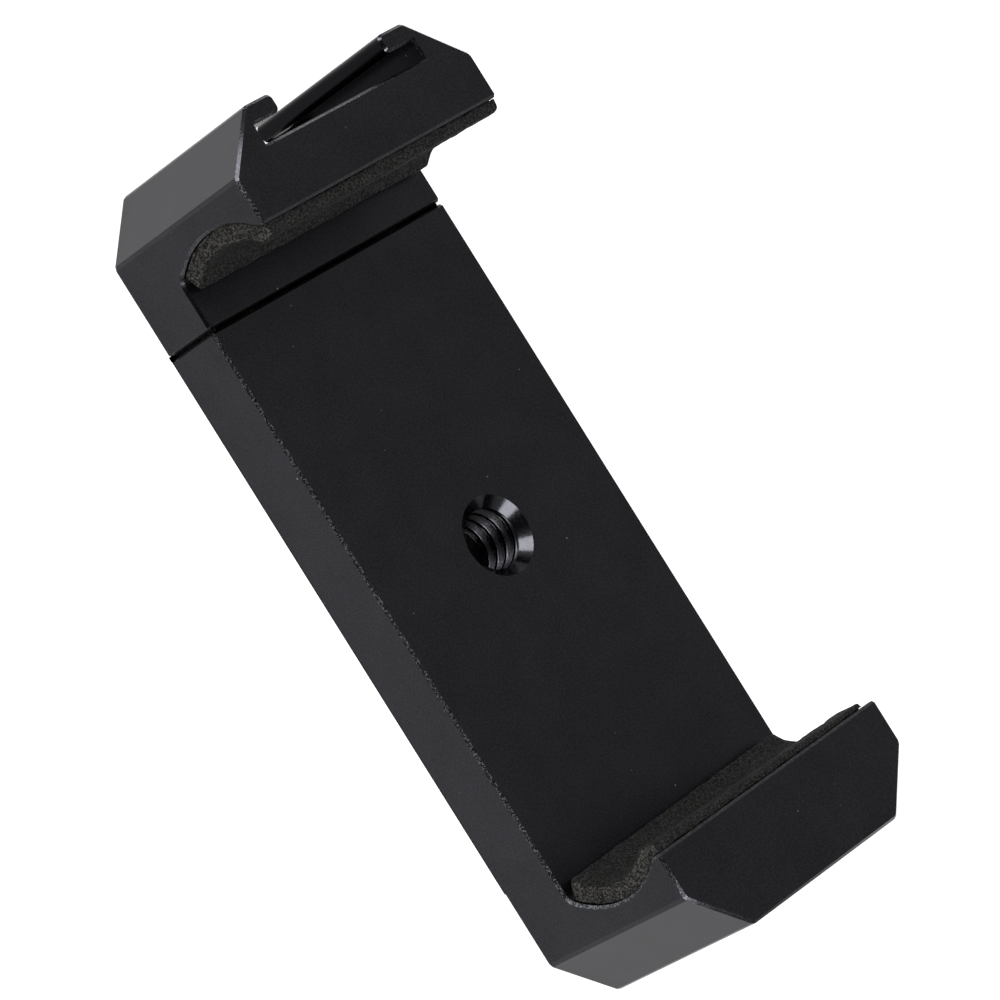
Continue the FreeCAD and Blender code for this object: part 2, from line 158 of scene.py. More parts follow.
@dataclass(frozen=True)
class BlastedAnodised(Finish):
    """Aluminium, bead-blasted and dyed black in its anodising.

    The blasting gives a fine dull grain. The edges were broken before the dye and have rubbed light since,
    in short bright grains, and a few specks of dust lie on the faces.
    """

    name: str = "black_anodised_bead_blasted_aluminium"
    dye: str = "#1f1f22"
    dye_thin: str = "#303034"
    slot_painted_shade: str = "#121215"  # painted shade in the milled slot; the slot also wasn't blasted
    rubbed: str = "#7b7d80"
    dust: str = "#8c8c90"
    grain: float = 0.16  # blasted grain in mm, drawn a little coarser than the real 0.1 mm so that it shows
    cloud: float = 4.0  # uneven dye in mm
    rub: float = 0.2  # size of a rubbed grain on an edge in mm
    dust_cell: float = 1.5  # one speck at most in each cell of this size in mm
    dust_size: float = 0.085  # radius of a speck in mm
    roughness: float = 0.37
    turned_roughness: float = 0.16
    turned_bare: float = 0.06  # how far the dye is missing where the countersink was turned
    edge_roughness: float = 0.2  # broken edges were cut after the blasting
    torn_roughness: float = 0.3  # what a fully rubbed grain adds

    def surface(self, tree: bpy.types.NodeTree, place: bpy.types.NodeSocket) -> bpy.types.Node:
        """Draws dyed metal with blasted grain, rubbed edges, turned thread walls and dust."""
        edge, turned, milled = [add_node(tree, "Attribute", attribute_name=mark).outputs["Fac"]
                                for mark in ("edge_break", "turned", "milled")]
        grain = add_node(tree, "TexNoise", {
            "Vector": place, "Scale": per_mm(self.grain), "Detail": 2.0, "Roughness": 0.6})
        rubbing = add_node(tree, "TexNoise", {
            "Vector": place, "Scale": per_mm(self.rub), "Detail": 3.0, "Roughness": 0.7})
        grains = add_node(tree, "MapRange", (rubbing, 0.46, 0.6, 0.08, 1.0))
        bare = add_node(tree, "Math", (grains, edge), operation="MULTIPLY")
        thin = add_node(tree, "Math", (turned, self.turned_bare), operation="MULTIPLY")
        lost = add_node(tree, "Math", (bare, thin), operation="MAXIMUM")
        worn = add_node(tree, "Mix", {
            0: lost, 6: self.dyed(tree, place, grain, milled), 7: linear(self.rubbed)}, data_type="RGBA")

        broken = add_node(tree, "MapRange", (edge, 0.0, 0.03))
        cut = add_node(tree, "Math", (broken, milled), operation="MAXIMUM")
        smoothed = [add_node(tree, "MapRange", (mark, 0.0, 1.0, self.roughness, finest))
                    for mark, finest in ((turned, self.turned_roughness), (cut, self.edge_roughness))]
        machined = add_node(tree, "Math", tuple(smoothed), operation="MINIMUM")
        uneven = add_node(tree, "MapRange", (grain, 0.3, 0.7, -0.05, 0.05))
        varied = add_node(tree, "Math", (uneven, machined), operation="ADD")
        torn = add_node(tree, "Math", (bare, self.torn_roughness), operation="MULTIPLY")
        rough = add_node(tree, "Math", (varied, torn), operation="ADD")

        flattened = [add_node(tree, "MapRange", (mark, 0.0, 1.0, 0.3, 0.03)) for mark in (turned, cut)]
        blasted = add_node(tree, "Math", tuple(flattened), operation="MINIMUM")
        dented = add_node(tree, "MapRange", (edge, 0.05, 0.8, 0.0, 0.7))
        dents = add_node(tree, "Bump", {"Height": rubbing, "Strength": dented, "Distance": 0.1 * MM})
        relief = add_node(tree, "Bump", {
            "Height": grain, "Strength": blasted, "Distance": 0.03 * MM, "Normal": dents})
        return add_node(tree, "BsdfPrincipled", {
            "Base Color": self.dusty(tree, place, worn.outputs[2]), "Metallic": 1.0, "Roughness": rough,
            "Normal": relief})

    def dyed(self, tree: bpy.types.NodeTree, place: bpy.types.NodeSocket, grain: bpy.types.Node,
             milled: bpy.types.NodeSocket) -> bpy.types.NodeSocket:
        """Draws the dye, uneven on the blasted faces, and darker in the milled slot as painted shade.

        Args:
            tree: The material's node tree.
            place: Object coordinates, in metres.
            grain: The blasted grain.
            milled: 1 in the milled slot and 0 elsewhere.

        Returns:
            The dye's colour.
        """
        cloud = add_node(tree, "TexNoise", {"Vector": place, "Scale": per_mm(self.cloud), "Detail": 3.0})
        fine = add_node(tree, "MapRange", (grain, 0.3, 0.7, 0.0, 0.8))
        broad = add_node(tree, "MapRange", (cloud, 0.35, 0.65, 0.0, 0.2))
        speckled = add_node(tree, "Math", (fine, broad), operation="ADD")
        outside = add_node(tree, "Mix", {
            0: speckled, 6: linear(self.dye), 7: linear(self.dye_thin)}, data_type="RGBA")
        # painted shade: the milled slot takes the darker colour
        return add_node(tree, "Mix", {
            0: milled, 6: outside.outputs[2], 7: linear(self.slot_painted_shade)}, data_type="RGBA").outputs[2]

    def dusty(self, tree: bpy.types.NodeTree, place: bpy.types.NodeSocket,
              clean: bpy.types.NodeSocket) -> bpy.types.NodeSocket:
        """Draws a round speck of dust in some of the cells that divide the surface.

        Args:
            tree: The material's node tree.
            place: Object coordinates, in metres.
            clean: The colour without dust.

        Returns:
            The colour with dust.
        """
        cells = add_node(tree, "TexVoronoi", {"Vector": place, "Scale": per_mm(self.dust_cell)})
        radius = self.dust_size / self.dust_cell
        spot = add_node(tree, "MapRange", (cells, radius, 0.3 * radius))
        chance = add_node(tree, "SeparateColor", (cells.outputs["Color"],))
        chosen = add_node(tree, "MapRange", (chance, 0.72, 0.9))
        speck = add_node(tree, "Math", (spot, chosen), operation="MULTIPLY")
        return add_node(tree, "Mix", {0: speck, 6: clean, 7: linear(self.dust)}, data_type="RGBA").outputs[2]


@dataclass(frozen=True)
class ClosedCellFoam(Finish):
    """Black closed-cell rubber foam, cut from sheet.

    Its skin is dull and full of small cells. A cut opens the cells, so it looks grainier and lighter.
    """

    name: str = "black_closed_cell_rubber_foam"
    deep: str = "#0b0b0b"
    skin: str = "#2a2928"
    open_cell: str = "#43423f"
    grain: float = 0.18  # cell walls in mm
    pore: float = 0.42  # distance between larger pores in mm
    patch: float = 1.6  # uneven cells in mm

    def surface(self, tree: bpy.types.NodeTree, place: bpy.types.NodeSocket) -> bpy.types.Node:
        """Draws cell walls and pores, in colour and in relief."""
        cut = add_node(tree, "Attribute", attribute_name="cut_face").outputs["Fac"]
        walls = add_node(tree, "TexNoise", {
            "Vector": place, "Scale": per_mm(self.grain), "Detail": 3.0, "Roughness": 0.65})
        patch = add_node(tree, "TexNoise", {"Vector": place, "Scale": per_mm(self.patch), "Detail": 2.0})
        cells = add_node(tree, "TexVoronoi", {"Vector": place, "Scale": per_mm(self.pore)})
        chance = add_node(tree, "SeparateColor", (cells.outputs["Color"],))
        closed = add_node(tree, "MapRange", (chance, 0.2, 0.9, 0.0, 0.3))
        from_pore = add_node(tree, "Math", (cells, closed), operation="ADD")
        solid = add_node(tree, "MapRange", (from_pore, 0.18, 0.44))
        wall = add_node(tree, "MapRange", (walls, 0.44, 0.6))
        light = add_node(tree, "Math", (wall, solid), operation="MULTIPLY")
        uneven = add_node(tree, "MapRange", (patch, 0.3, 0.7, 0.65, 1.0))
        shown = add_node(tree, "Math", (light, uneven), operation="MULTIPLY")
        raised = add_node(tree, "Mix", {
            0: cut, 6: linear(self.skin), 7: linear(self.open_cell)}, data_type="RGBA")
        colour = add_node(tree, "Mix", {
            0: shown, 6: linear(self.deep), 7: raised.outputs[2]}, data_type="RGBA")
        thin = add_node(tree, "Math", (walls, 0.6), operation="MULTIPLY")
        height = add_node(tree, "Math", (thin, solid), operation="ADD")
        relief = add_node(tree, "Bump", {"Height": height, "Strength": 0.5, "Distance": 0.08 * MM})
        return add_node(tree, "BsdfPrincipled", {
            "Base Color": colour.outputs[2], "Metallic": 0.0, "Roughness": 0.9, "IOR": 1.45,
            "Specular IOR Level": 0.12, "Normal": relief})


@dataclass(frozen=True)
class SmallMetal(Finish):
    """A small bright or oxidised metal part with its marks of making.

    Turning and grinding leave fine rings round the long axis, plating and oxide leave soft clouds.
    """

    name: str
    colour: str
    stained: str
    roughness: float
    ring: float = 0.08  # width of a grinding ring in mm
    cloud: float = 1.5  # uneven tone in mm
    ring_share: float = 0.15

    def surface(self, tree: bpy.types.NodeTree, place: bpy.types.NodeSocket) -> bpy.types.Node:
        """Draws rings across the long axis, and clouds of a second tone."""
        cloud = add_node(tree, "TexNoise", {"Vector": place, "Scale": per_mm(self.cloud), "Detail": 4.0})
        stretched = add_node(tree, "Mapping", {"Vector": place, "Scale": (1.0, 0.04, 0.04)})
        rings = add_node(tree, "TexNoise", {"Vector": stretched, "Scale": per_mm(self.ring), "Detail": 2.0})
        stain = add_node(tree, "MapRange", (cloud, 0.35, 0.7))
        colour = add_node(tree, "Mix", {
            0: stain, 6: linear(self.colour), 7: linear(self.stained)}, data_type="RGBA")
        uneven = add_node(tree, "MapRange", (rings, 0.3, 0.7, -0.06, 0.08))
        rough = add_node(tree, "Math", (uneven, self.roughness), operation="ADD")
        relief = add_node(tree, "Bump", {
            "Height": rings, "Strength": self.ring_share, "Distance": 0.01 * MM})
        return add_node(tree, "BsdfPrincipled", {
            "Base Color": colour.outputs[2], "Metallic": 1.0, "Roughness": rough, "Normal": relief})


@dataclass(frozen=True)
class StudioPaper(Finish):
    """Matt studio paper or card, which may be lit from behind."""

    name: str
    paper: str
    glow: float
    fibre: float = 0.6  # paper's grain in mm

    def surface(self, tree: bpy.types.NodeTree, place: bpy.types.NodeSocket) -> bpy.types.Node:
        """Draws a matt colour with the faintest fibre, and its glow."""
        fibre = add_node(tree, "TexNoise", {"Vector": place, "Scale": per_mm(self.fibre)})
        faint = add_node(tree, "MapRange", (fibre, 0.3, 0.7, 0.0, 0.02))
        colour = add_node(tree, "Mix", {
            0: faint, 6: linear(self.paper), 7: linear("#ffffff")}, data_type="RGBA")
        return add_node(tree, "BsdfPrincipled", {
            "Base Color": colour.outputs[2], "Metallic": 0.0, "Roughness": 0.95, "Specular IOR Level": 0.0,
            "Emission Color": linear("#ffffff"), "Emission Strength": self.glow})


ANODISED = BlastedAnodised()
FOAM = ClosedCellFoam()
ROD_STEEL = SmallMetal("ground_and_polished_steel", "#c6c5c1", "#b0aeaa", 0.2, ring_share=0.2)
BRONZE = SmallMetal("sintered_bronze", "#80623c", "#614829", 0.45, cloud=0.5)
SPRING_WIRE = SmallMetal("drawn_spring_steel_wire", "#9c9da0", "#7c7d80", 0.3)
ZINC = SmallMetal("bright_zinc_plated_steel", "#c3c6ca", "#aab0b8", 0.28)
OXIDE = SmallMetal("black_oxide_steel", "#2e2d2c", "#3a3836", 0.38)


# Surfaces from numbers


def strip_faces(rows: int, columns: int, close: bool = False) -> np.ndarray:
    """Quads between neighbouring points of a grid that is stored row by row.

    Args:
        rows: Number of rows of points.
        columns: Number of points in a row.
        close: Whether each row's last point is joined to its first.

    Returns:
        The quads' point numbers, four in each row.
    """
    row, column = np.meshgrid(np.arange(rows - 1), np.arange(columns - (0 if close else 1)), indexing="ij")
    after = (column + 1) % columns
    corners = [row * columns + column, row * columns + after, (row + 1) * columns + after,
               (row + 1) * columns + column]
    return np.stack(corners, axis=-1).reshape(-1, 4)


def ripple(points: np.ndarray, seed: int, length: float, height: float) -> np.ndarray:
    """Smooth uneven value at each point: sixteen sine waves of about one length, summed and scaled.

    Args:
        points: Points in mm.
        seed: Seed of the waves' directions and phases.
        length: Typical wave length in mm.
        height: Typical size of the value.

    Returns:
        One value for each point.
    """
    chance = np.random.default_rng(seed)
    waves = 16
    ways = chance.normal(size=(waves, 3))
    ways /= np.linalg.norm(ways, axis=1, keepdims=True)
    pace = math.tau / length * chance.uniform(0.6, 1.5, waves)
    phases = points @ (ways * pace[:, None]).T + chance.uniform(0, math.tau, waves)
    return height * np.sin(phases).sum(axis=1) / math.sqrt(waves / 2)


def new_piece(name: str, points: np.ndarray, faces: list, finish: Finish) -> bpy.types.Object:
    """Makes a mesh object at the origin from points in mm.

    Args:
        name: The piece's name.
        points: Points in mm, in the clamp's frame.
        faces: Point numbers of each face.
        finish: The piece's finish.

    Returns:
        The new object, smoothly shaded with its normals outward.
    """
    mesh = bpy.data.meshes.new(name)
    mesh.from_pydata((points * MM).tolist(), [], faces)
    shell = bmesh.new()
    shell.from_mesh(mesh)
    bmesh.ops.remove_doubles(shell, verts=shell.verts, dist=0.001 * MM)
    bmesh.ops.recalc_face_normals(shell, faces=shell.faces)
    shell.to_mesh(mesh)
    shell.free()
    piece = bpy.data.objects.new(name, mesh)
    bpy.context.scene.collection.objects.link(piece)
    dress(piece, finish)
    smooth(mesh)
    return piece


def smooth(mesh: bpy.types.Mesh, degrees: float = 20.0) -> None:
    """Shades a mesh smoothly, apart from edges that turn by more than the angle in degrees."""
    mesh.shade_smooth()
    mesh.set_sharp_from_angle(angle=math.radians(degrees))


def dress(piece: bpy.types.Object, finish: Finish) -> None:
    """Gives a piece or a CAD node its finish in every material slot.

    Args:
        piece: The piece or node.
        finish: Its finish.
    """
    material = finish.material()
    if not piece.material_slots:
        piece.data.materials.append(material)
    for slot in piece.material_slots:
        slot.link = "OBJECT"
        slot.material = material


def face_facts(mesh: bpy.types.Mesh) -> tuple[np.ndarray, np.ndarray, np.ndarray]:
    """Reads a triangle mesh's faces.

    A triangle's width is twice its area divided by its longest side.

    Args:
        mesh: A mesh of triangles.

    Returns:
        The faces' middles in mm, their unit normals, and their widths in mm.
    """
    points = np.empty(3 * len(mesh.vertices))
    mesh.vertices.foreach_get("co", points)
    corners = np.empty(3 * len(mesh.polygons), dtype=np.int64)
    mesh.polygons.foreach_get("vertices", corners)
    spots = points.reshape(-1, 3)[corners.reshape(-1, 3)] / MM
    sides = np.linalg.norm(spots - np.roll(spots, 1, axis=1), axis=2)
    across = np.cross(spots[:, 1] - spots[:, 0], spots[:, 2] - spots[:, 0])
    doubled = np.linalg.norm(across, axis=1)
    return spots.mean(axis=1), across / np.maximum(doubled, 1e-12)[:, None], doubled / sides.max(axis=1)


def put_on_faces(mesh: bpy.types.Mesh, name: str, values: np.ndarray) -> None:
    """Stores one number for each face under a name that a finish reads."""
    mesh.attributes.new(name, "FLOAT", "FACE").data.foreach_set("value", values.astype(np.float32))


# The clamp's sub-assemblies


@dataclass(frozen=True)
class EdgeWear:
    """How far the broken edges of a machined piece have rubbed through the dye, from 0 to 1."""

    corner_rim: float  # of the front face along the corner bevels
    lip_side: float  # of the front face along the sides
    lip_inner: float  # of the front face over the pad
    hollow: float  # round the pad's hollow, on the sides
    plate_side: float  # of the plate's front along the sides
    shoe_rim: float = 0.0  # of the front face round the cold shoe's slot, 0 where there is none
    upright: float = 0.0  # of the end face
    elsewhere: float = 0.04


BODY_WEAR = EdgeWear(corner_rim=0.15, lip_side=0.22, lip_inner=0.15, hollow=0.8, plate_side=0.45)
JAW_WEAR = EdgeWear(corner_rim=0.06, lip_side=0.42, lip_inner=0.1, hollow=0.25, plate_side=0.04,
                    shoe_rim=0.62)


@dataclass
class MachinedPiece:
    """The body or the sliding jaw: the CAD form with its broken edges marked and its thread, if any, cut.

    All sizes are in mm.
    """

    node: str
    body: str
    jaw: Jaw
    wear: EdgeWear
    threaded: bool = False
    height: float = 18.05
    lip_reach: float = 8.6
    plate: float = 6.1
    break_width: float = 0.42  # widest triangle of a broken edge
    curve_width: float = 1.2  # widest triangle of a round face
    front_zone: float = 0.5  # depth in which the front face's broken edges lie
    plate_zone: float = 0.35  # the same for the plate
    hollow_start: float = 4.0  # from the end face to the pad's hollow, at least
    hollow_rise: float = 9.5  # from the plate to the hollow's end
    nose_half: float = 7.2  # half the width between which the rails' rounded edges lie
    slot_depth: float = 3.5  # of the cold shoe's slot, with some room
    slot_half: float = 9.5  # half the slot's width, with some room
    slot_rim: float = 0.1  # what the slot's broken edges add to its depth, and twice that to its half width
    rim_fade: float = 4.0  # run over which the wear of the slot's rim fades to the right
    rod_spacing: float = 17.0
    rod_height: float = 3.05
    rod_room: float = 2.4  # radius of what is bored round a rod
    thread_crest: float = 2.6
    thread_depth: float = 0.62
    thread_pitch: float = 1.27
    thread_flat: float = 0.2  # share of the pitch that each crest and root takes
    thread_shine: float = 0.6  # how close the tap comes to the turned countersink's smoothness
    run_out: float = 0.3  # height over which the thread ends
    front_sink: float = 0.83
    sink_radius: float = 3.5

    def build(self) -> bpy.types.Object:
        """Makes the dressed copy of the CAD node and puts it on its body.

        Returns:
            The copy.
        """
        mesh = self.merged_mesh()
        piece = bpy.data.objects.new(f"{self.node}_machined", mesh)
        bpy.context.scene.collection.objects.link(piece)
        if self.threaded:
            self.tap(piece)
        self.mark_faces(piece.data)
        dress(piece, ANODISED)
        smooth(piece.data)
        self.flatten(piece.data)
        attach(piece, self.body)
        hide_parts(self.node)
        return piece

    def merged_mesh(self) -> bpy.types.Mesh:
        """Copies the CAD node's triangles with their shared corners joined.

        Returns:
            The copy's mesh.
        """
        mesh = bpy.data.meshes.new(f"{self.node}_machined")
        shell = bmesh.new()
        shell.from_mesh(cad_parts[self.node].data)
        bmesh.ops.remove_doubles(shell, verts=shell.verts, dist=0.001 * MM)
        shell.to_mesh(mesh)
        shell.free()
        return mesh

    def tap(self, piece: bpy.types.Object) -> None:
        """Cuts the tripod thread into the plate's bore with a screw-shaped cutter.

        Args:
            piece: The dressed copy, whose mesh is replaced by the tapped one.
        """
        cutter = self.thread_cutter()
        cut = piece.modifiers.new("tap", "BOOLEAN")
        cut.operation = "DIFFERENCE"
        cut.solver = "EXACT"
        cut.object = cutter
        tapped = bpy.data.meshes.new_from_object(piece.evaluated_get(bpy.context.evaluated_depsgraph_get()))
        piece.modifiers.clear()
        plain = piece.data
        piece.data = tapped
        bpy.data.meshes.remove(plain)
        bpy.data.objects.remove(cutter)
        shell = bmesh.new()
        shell.from_mesh(tapped)
        bmesh.ops.triangulate(shell, faces=shell.faces)
        shell.to_mesh(tapped)
        shell.free()

    def thread_cutter(self) -> bpy.types.Object:
        """Makes the tap: a rod whose radius swells once each pitch along Z and turns with the angle.

        The radius at angle a and height z is the crest's plus the depth times w, where w rises and falls
        linearly with the fraction of z / pitch - a / tau, on flanks of about 30 degrees with flats between
        them. The thread runs out below the countersink.

        Returns:
            The cutter.
        """
        rows, columns = 96, 96
        sink_floor = self.plate - self.front_sink
        angle, height = np.meshgrid(np.linspace(0, math.tau, columns, endpoint=False),
                                    np.linspace(-0.5, sink_floor - 0.02, rows), indexing="xy")
        share = (height / self.thread_pitch - angle / math.tau) % 1.0
        flanks = 1 - 2 * self.thread_flat
        wave = np.clip((1 - np.abs(2 * share - 1) - self.thread_flat) / flanks, 0, 1)
        run_out = np.clip((sink_floor - height) / self.run_out, 0, 1)
        radius = self.thread_crest + self.thread_depth * wave * run_out
        points = np.stack([radius * np.cos(angle), radius * np.sin(angle), height], axis=-1).reshape(-1, 3)
        faces = strip_faces(rows, columns, close=True).tolist()
        faces += [list(range(columns))[::-1], list(range((rows - 1) * columns, rows * columns))]
        mesh = bpy.data.meshes.new("tap")
        mesh.from_pydata((points * MM).tolist(), [], faces)
        cutter = bpy.data.objects.new("tap", mesh)
        bpy.context.scene.collection.objects.link(cutter)
        return cutter

    def reach_of(self, x: np.ndarray) -> np.ndarray:
        """Distance in mm from the jaw's end face toward the phone."""
        _, end, inward = self.jaw.value
        return (x - end) * inward

    def mark_faces(self, mesh: bpy.types.Mesh) -> None:
        """Marks how far each narrow bevel has rubbed, the milled slot, and how smooth the hole was cut.

        Args:
            mesh: The dressed copy's mesh.
        """
        middle, normal, width = face_facts(mesh)
        x, y, z = middle.T
        along, across, up = np.abs(normal).T
        reach = self.reach_of(x)
        from_hole = np.hypot(x, y)
        from_rod = np.hypot(np.abs(y) - self.rod_spacing / 2, z - self.rod_height)
        over_plate = (z > self.plate - 0.05) & (z < self.plate + self.hollow_rise)
        seat = over_plate & (across < 0.1) & (along > 0.05)
        nose = (up < 0.1) & (np.abs(y) < self.nose_half)
        narrow = (width < self.break_width) & (np.abs(normal).max(axis=1) < 0.97)
        broken = narrow & ~seat & ~nose & (from_rod > self.rod_room) & (from_hole > self.sink_radius)
        in_slot = (reach > 0.05) & (reach < self.slot_depth) & (np.abs(y) < self.slot_half) & (up < 0.1)
        milled = in_slot & ~broken & (self.wear.shoe_rim > 0)
        in_hole = (from_hole < self.sink_radius) & self.threaded
        sunk = (from_hole > self.thread_crest) & (z > self.plate - self.front_sink - 0.02) & (up > 0.6)
        put_on_faces(mesh, "edge_break", broken * self.rubbed(middle, normal))
        put_on_faces(mesh, "milled", milled)
        put_on_faces(mesh, "turned", in_hole * np.where(sunk, 1.0, self.thread_shine))

    def flatten(self, mesh: bpy.types.Mesh) -> None:
        """Shades every face flat that is wide or square to an axis, since its rounded edges would bend it.

        Args:
            mesh: The dressed copy's mesh.
        """
        _, normal, width = face_facts(mesh)
        oblique = np.abs(normal).max(axis=1) < 0.9999
        mesh.polygons.foreach_set("use_smooth", oblique & (width < self.curve_width))
        mesh.update()

    def rubbed(self, middle: np.ndarray, normal: np.ndarray) -> np.ndarray:
        """Wear of the edge that each face would belong to, by its place and the way it faces.

        Args:
            middle: The faces' middles in mm.
            normal: The faces' unit normals.

        Returns:
            One share of rubbing for each face.
        """
        x, y, z = middle.T
        reach = self.reach_of(x)
        along, sideways = np.abs(normal[:, 0]), np.abs(normal[:, 1])
        up, inside = normal[:, 2], normal[:, 0] * self.jaw.value[2]
        front = (z > self.height - self.front_zone) & (up > 0.3)
        at_plate = (np.abs(z - self.plate) < self.plate_zone) & (up > 0.3)
        between = (z > self.plate + self.plate_zone) & (z < self.height - self.front_zone)
        beside_pad = between & (reach > self.hollow_start)
        deep = reach < self.slot_depth + self.slot_rim
        in_rim = deep & (np.abs(y) < self.slot_half + 2 * self.slot_rim)
        shoe = front & in_rim & (np.maximum(along, sideways) > 0.6) & (self.wear.shoe_rim > 0)
        corner = front & (along > 0.3) & (sideways > 0.3) & (reach < self.lip_reach - 1)
        fade = np.clip((y + self.rim_fade) / self.rim_fade, 0.3, 1.0)
        kinds = [
            ((np.abs(up) < 0.1) & (inside < -0.1), self.wear.upright),
            (shoe, self.wear.shoe_rim * fade),
            (corner, self.wear.corner_rim),
            (front & (sideways > 0.6), self.wear.lip_side),
            (front & (inside > 0.5), self.wear.lip_inner),
            (beside_pad & (sideways > 0.5), self.wear.hollow),
            (at_plate & (sideways > 0.6), self.wear.plate_side),
        ]
        return np.select([where for where, _ in kinds], [share for _, share in kinds], self.wear.elsewhere)


@dataclass
class FoamPad:
    """Foam strip glued in a jaw's hollow, crowned a little where the glue and the cut let it spring.

    All sizes are in mm. Its near end is the left one and its far end the right one.
    """

    jaw: Jaw
    body: str
    proud_near: float  # how far it stands past the lip at its near end
    proud_far: float
    short: float  # what its far end lacks to the side gap
    foot_near: float  # how far its foot stands off at its near end
    foot_far: float
    loose: float  # how far it has come away in the hollow at its far end
    seed: int
    plate: float = 6.1
    height: float = 18.05
    lip_reach: float = 8.6
    seat_depth: float = 6.7
    lip_land: float = 0.9
    glue: float = 0.05
    thick: float = 1.5
    foot_gap: float = 0.15
    top_gap: float = 0.4
    side_gap: float = 0.4
    half_width: float = 13.9
    rounding: float = 0.45
    strip: float = 11.9  # length before it is bent
    cells: tuple[int, int, int] = (60, 9, 120)  # of its mesh, along, through and across
    cut_zone: float = 0.12  # depth of the cut faces at its ends
    arc_share: float = 0.88  # of the strip's length
    foot_share: float = 0.2  # of the strip's length
    loose_rise: float = 0.6  # share of the strip's length that is loose
    loose_run: float = 0.12  # share of the pad's width that is loose
    cut_ripple: tuple[float, float] = (3.5, 0.03)  # length and height of the cut ends' waves
    long_ripple: tuple[float, float] = (2.6, 0.022)  # the same for the skin
    short_ripple: tuple[float, float] = (0.9, 0.014)
    skin_range: tuple[float, float] = (-0.06, 0.04)  # how far the skin may move

    def build(self) -> bpy.types.Object:
        """Makes the pad, roughens its skin and puts it on its body.

        Returns:
            The pad.
        """
        name, end, inward = self.jaw.value
        right = -self.half_width + self.side_gap + self.short
        left = self.half_width - self.side_gap
        size = (self.strip, self.thick + self.rounding, left - right)
        block, faces = rounded_block(size, self.rounding, self.cells)
        along, across = block[:, 0] / self.strip, block[:, 2]
        through = np.clip((block[:, 1] - self.rounding) / self.thick, 0, 1)
        y = right + across + np.where(across > 1, 1, -1) * ripple(block, self.seed, *self.cut_ripple)
        reach, rise = self.section(along, through, (y - right) / (left - right))
        points = np.stack([end + inward * reach, y, rise], axis=-1)
        piece = new_piece(f"{name}_pad_foam", points, faces, FOAM)
        self.roughen(piece.data)
        middle = np.empty(3 * len(piece.data.polygons))
        piece.data.polygons.foreach_get("center", middle)
        side = middle.reshape(-1, 3)[:, 1] / MM
        put_on_faces(piece.data, "cut_face", (side > left - self.cut_zone) | (side < right + self.cut_zone))
        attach(piece, self.body)
        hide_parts(f"{name}_pad")
        return piece

    def section(self, along: np.ndarray, through: np.ndarray,
                across: np.ndarray) -> tuple[np.ndarray, np.ndarray]:
        """Places points of the pad in its jaw's side view.

        The back and the front face are each an arc about the hollow's axis, from the foot to the lip, and
        then a straight run up the lip's edge. A point lies between them by its share through the foam. At the
        foot the front face stands off by an amount that runs evenly from one side of the jaw to the other,
        and near its right end it stands off by half a sine wave up the hollow, where the foam is loose.

        Args:
            along: Share from the foot to the top edge.
            through: Share from the back to the front.
            across: Share from the right end to the left.

        Returns:
            Distance in from the jaw's end face and height above the back face, both in mm.
        """
        inset = self.lip_reach - self.seat_depth
        rise = (self.height - self.lip_land - self.plate) / 2
        radius = (inset ** 2 + rise ** 2) / (2 * inset)
        axis = self.seat_depth + radius
        middle = self.plate + rise
        top = self.height - self.top_gap
        back = radius - self.glue
        lowest = -math.asin((rise - self.foot_gap) / back)
        land = self.lip_reach + self.glue
        spots = []
        proud = self.proud_far + (self.proud_near - self.proud_far) * across
        straight = np.clip((along - self.arc_share) / (1 - self.arc_share), 0, 1)
        for arc, stand in ((back, land), (back - self.thick, land + proud)):
            highest = np.arccos((axis - stand) / arc)
            angle = lowest + (highest - lowest) * np.clip(along / self.arc_share, 0, 1)
            joint = middle + arc * np.sin(highest)
            reach = axis - arc * np.cos(angle)
            height = middle + arc * np.sin(angle) + straight * (top - joint)
            spots.append((reach, height))
        (back_reach, back_height), (front_reach, front_height) = spots
        foot = self.foot_far + (self.foot_near - self.foot_far) * across
        stand_off = foot * np.clip(1 - along / self.foot_share, 0, 1) ** 2
        swell = np.sin(math.pi * np.clip(along / self.loose_rise, 0, 1))
        stand_off += self.loose * np.clip(1 - across / self.loose_run, 0, 1) * swell
        reach = back_reach + (front_reach - back_reach + stand_off) * through
        return reach, back_height + (front_height - back_height) * through

    def roughen(self, mesh: bpy.types.Mesh) -> None:
        """Moves the skin in and out along its normals by small ripples of two lengths.

        Args:
            mesh: The pad's mesh.
        """
        points = np.empty(3 * len(mesh.vertices))
        normals = np.empty(3 * len(mesh.vertices))
        mesh.vertices.foreach_get("co", points)
        mesh.vertices.foreach_get("normal", normals)
        points, normals = points.reshape(-1, 3) / MM, normals.reshape(-1, 3)
        lift = ripple(points, self.seed + 1, *self.long_ripple)
        lift += ripple(points, self.seed + 2, *self.short_ripple)
        points += normals * np.clip(lift, *self.skin_range)[:, None]
        mesh.vertices.foreach_set("co", (points * MM).ravel())
        mesh.update()


